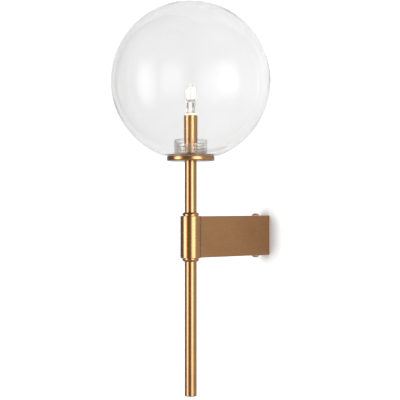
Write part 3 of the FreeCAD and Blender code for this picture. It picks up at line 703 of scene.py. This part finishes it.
finish_piece("collar", collar_mesh, "threaded_collar", "arm", collar_plastic)

# %% [markdown]
# ## The disc under the globe
# A turned brass plate with softly rounded rims, a recess on top for the gasket and a shallow socket below
# for the rod. A bevel would give both rims one radius, but the recess leaves a lip of under a millimetre
# at the top, so each rim is drawn as its own arc.

# %% Disc
disc_low, disc_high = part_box("globe_disc")
gasket_low, gasket_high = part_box("globe_gasket")
rod_low, rod_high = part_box("upper_rod")
disc_radius = (disc_high.x - disc_low.x) / 2
recess_floor = gasket_low.z - 0.05 * MM
recess_outside = (gasket_high.x - gasket_low.x) / 2 + 0.1 * MM
recess_inside = 20.7 * MM
rod_socket = (rod_high.x - rod_low.x) / 2 + 0.05 * MM
disc_hole = 5.05 * MM
lower_rim = 2.4 * MM
upper_rim = 2.2 * MM
lip_edge = 29.3 * MM
lip_reach = lip_edge - (disc_radius - upper_rim)
lip_rise = math.sqrt(upper_rim ** 2 - lip_reach ** 2)
lip_turn = 90 - math.degrees(math.atan2(lip_reach, lip_rise))

pen = Pen(disc_hole, rod_high.z)
pen.line(disc_hole, disc_high.z)
pen.line(recess_inside, disc_high.z, 4)
pen.line(recess_inside, recess_floor)
pen.line(recess_outside, recess_floor, 2)
pen.line(recess_outside, disc_high.z)
pen.line(lip_edge, disc_high.z)
pen.arc(disc_radius - upper_rim, disc_high.z - lip_rise, lip_turn, 6)
pen.line(disc_radius, disc_low.z + lower_rim)
pen.arc(disc_radius - lower_rim, disc_low.z + lower_rim, 90, 8)
pen.line(rod_socket, disc_low.z, 5)
pen.line(rod_socket, rod_high.z)
pen.close()
disc_mesh = pen.turn(128)
bmesh.ops.translate(disc_mesh, verts=disc_mesh.verts[:], vec=(rod_x, rod_y, 0))
finish_piece("globe_plate", disc_mesh, "globe_disc", "arm", turned_brass, 50)

# %% [markdown]
# ## Threaded nipples and the stud
# Three rods with a fine metric thread hold the stack together: two are hollow for the wires, and the one
# under the arm is solid. A helix could be swept along each, but a wave pushed into a finely cut outline
# gives the same ridge, starts and ends softly at the chamfers, and stays one closed skin.

# %% Threaded rods
cuts_per_turn = 8


def cut_thread(mesh, radius, low, high, pitch, depth):
    """Cuts a right-handed thread into a straight turned run, fading out over one pitch at each end."""
    for vertex in mesh.verts:
        if abs(math.hypot(vertex.co.x, vertex.co.y) - radius) < 0.01 * MM and low < vertex.co.z < high:
            share = fade(vertex.co.z, low, high, pitch)
            push_out(vertex.co, -share * depth * (1 - thread_wave(vertex.co, pitch)) / 2)


def threaded_rod(name, node, bore):
    """A metric rod with a 1 mm pitch and chamfered ends, hollow where bore isn't 0."""
    pitch = 1.0 * MM
    chamfer = 0.6 * MM
    low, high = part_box(node)
    radius = (high.x - low.x) / 2
    pen = Pen(bore, low.z)
    pen.line(radius - chamfer, low.z)
    pen.line(radius, low.z + chamfer)
    pen.line(radius, high.z - chamfer, round((high.z - low.z) / pitch * cuts_per_turn))
    pen.line(radius - chamfer, high.z)
    pen.line(bore, high.z)
    if bore:
        pen.close()
    mesh = pen.turn(32)
    cut_thread(mesh, radius, low.z + chamfer, high.z - chamfer, pitch, 0.55 * MM)
    bmesh.ops.translate(mesh, verts=mesh.verts[:], vec=(rod_x, rod_y, 0))
    finish_piece(name, mesh, node, "arm", finishes["zinc"], 50)


nipple_bore = 3.75 * MM
threaded_rod("hub_nipple_thread", "hub_nipple", nipple_bore)
threaded_rod("disc_nipple_thread", "disc_nipple", nipple_bore)
threaded_rod("hub_stud_thread", "hub_stud", 0)

# %% [markdown]
# ## The lock screws and the earth screw
# Each is a button-head screw with a hexagon socket. It is turned like the other pieces, from its tip up to
# the dome and down into the socket. Then the points of the socket, which the turning left round, are moved
# out to the six sides: 48 steps put a point on every corner. The lower lock screw is the same screw turned
# over, which keeps its thread right-handed.

# %% Button-head screws
def hexagon_reach(turn, flat):
    """How far a hexagon reaches in a direction; flat is the distance from its middle to a side."""
    return flat / math.cos(turn % (math.pi / 3) - math.pi / 6)


def button_screw(name, node, body, head_height, socket_flat, material, downwards=False):
    """A screw on the line of its node, its head at the node's upper end, or the lower if downwards."""
    low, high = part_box(node)
    head_radius = (high.x - low.x) / 2
    thread_radius = 2.0 * MM
    pitch = 0.7 * MM
    chamfer = 0.4 * MM
    length = high.z - low.z - head_height
    rim = 0.2 * head_height
    rise = head_height - rim
    dome_radius = (head_radius ** 2 + rise ** 2) / (2 * rise)
    dome_middle = head_height - dome_radius
    mouth = socket_flat * 1.28
    half_dome = math.asin(head_radius / dome_radius)
    half_mouth = math.asin(mouth / dome_radius)
    mouth_height = dome_middle + math.sqrt(dome_radius ** 2 - mouth ** 2)

    pen = Pen(0, -length)
    pen.line(thread_radius - chamfer, -length)
    pen.line(thread_radius, -length + chamfer)
    pen.line(thread_radius, 0, round(length / pitch * cuts_per_turn))
    pen.line(head_radius, 0, 2)
    pen.line(head_radius, rim)
    pen.arc(0, dome_middle, math.degrees(half_mouth - half_dome), 10)
    pen.line(socket_flat, mouth_height - 0.12 * MM)
    pen.line(socket_flat, 0.45 * head_height)
    pen.line(0, 0.38 * head_height)
    mesh = pen.turn(48)
    for vertex in mesh.verts:
        radius = math.hypot(vertex.co.x, vertex.co.y)
        if vertex.co.z > rim and abs(radius - socket_flat) < 0.01 * MM:
            push_out(vertex.co, hexagon_reach(math.atan2(vertex.co.y, vertex.co.x), socket_flat) - radius)
    cut_thread(mesh, thread_radius, -length + chamfer, -0.3 * MM, pitch, 0.42 * MM)
    if downwards:
        turned_over = Matrix.Rotation(math.pi, 3, "X")
        bmesh.ops.rotate(mesh, verts=mesh.verts[:], cent=(0, 0, 0), matrix=turned_over)
    seat = low.z + head_height if downwards else high.z - head_height
    place = ((low.x + high.x) / 2, (low.y + high.y) / 2, seat)
    bmesh.ops.translate(mesh, verts=mesh.verts[:], vec=place)
    finish_piece(name, mesh, node, body, material, 40)


button_screw("upper_button_screw", "upper_lock_screw", "upper_screw", 2.5 * MM, 1.25 * MM, turned_brass)
button_screw("lower_button_screw", "lower_lock_screw", "lower_screw", 2.5 * MM, 1.25 * MM, turned_brass,
             downwards=True)
button_screw("earth_button_screw", "earth_screw", "bracket", 2.4 * MM, 1.0 * MM, finishes["zinc"])

# %% [markdown]
# ## The filament
# A tungsten wire wound to a fine coil, bent to a hairpin between the two inner leads. The coil is wound
# straight up with a spin that climbs at each step. Then every point above the leg's length is carried
# round the hairpin's bend and down the other side, so the coil stays one unbroken wire.

# %% Wind the coil and bend it
filament_low, filament_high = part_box("bulb_filament")
coil_radius = (filament_high.y - filament_low.y) / 2
wire_radius = 0.11 * MM
leg_spacing = filament_high.x - filament_low.x - 2 * coil_radius
bend_radius = leg_spacing / 2
leg_length = filament_high.z - filament_low.z - coil_radius - bend_radius
coil_length = 2 * leg_length + math.pi * bend_radius
coil_pitch = 0.40 * MM
steps_per_turn = 12
coil_turns = round(coil_length / coil_pitch)

coil = bmesh.new()
bmesh.ops.create_circle(coil, cap_ends=False, radius=wire_radius, segments=6,
                        matrix=Matrix.Translation((coil_radius - wire_radius, 0, 0))
                        @ Matrix.Rotation(math.pi / 2, 4, "X"))
coil_steps = coil_turns * steps_per_turn
bmesh.ops.spin(coil, geom=coil.verts[:] + coil.edges[:], cent=(0, 0, 0), axis=(0, 0, 1),
               dvec=(0, 0, (coil_length - 2 * wire_radius) / coil_steps), angle=coil_turns * 2 * math.pi,
               steps=coil_steps, use_merge=False, use_normal_flip=False, use_duplicate=False)
bmesh.ops.holes_fill(coil, edges=[edge for edge in coil.edges if edge.is_boundary], sides=0)
bmesh.ops.translate(coil, verts=coil.verts[:], vec=(0, 0, wire_radius))
for vertex in coil.verts:
    x, y, along = vertex.co
    if along <= leg_length:
        vertex.co = (x - bend_radius, y, along)
    elif along >= coil_length - leg_length:
        vertex.co = (bend_radius - x, y, coil_length - along)
    else:
        turn = (along - leg_length) / bend_radius
        reach = bend_radius - x
        vertex.co = (-reach * math.cos(turn), y, leg_length + reach * math.sin(turn))
bmesh.ops.translate(coil, verts=coil.verts[:], vec=(rod_x, rod_y, filament_low.z))
finish_piece("filament_coil", coil, "bulb_filament", "bulb", tungsten)
print("filament:", coil_turns, "turns over", round(coil_length * 1000, 1), "mm")

# %% [markdown]
# The dressed lamp is meant to stay inside the box of the solids, so the difference between its box and the
# solids' box is printed, in mm.

# %% Print how far the dressed box differs from the solids' box
visual_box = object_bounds()
growth = [round((new - old) * 1000, 3) for old_corner, new_corner in zip(cad_box, visual_box)
          for old, new in zip(old_corner, new_corner)]
print("visual box minus solid box, mm:", growth)
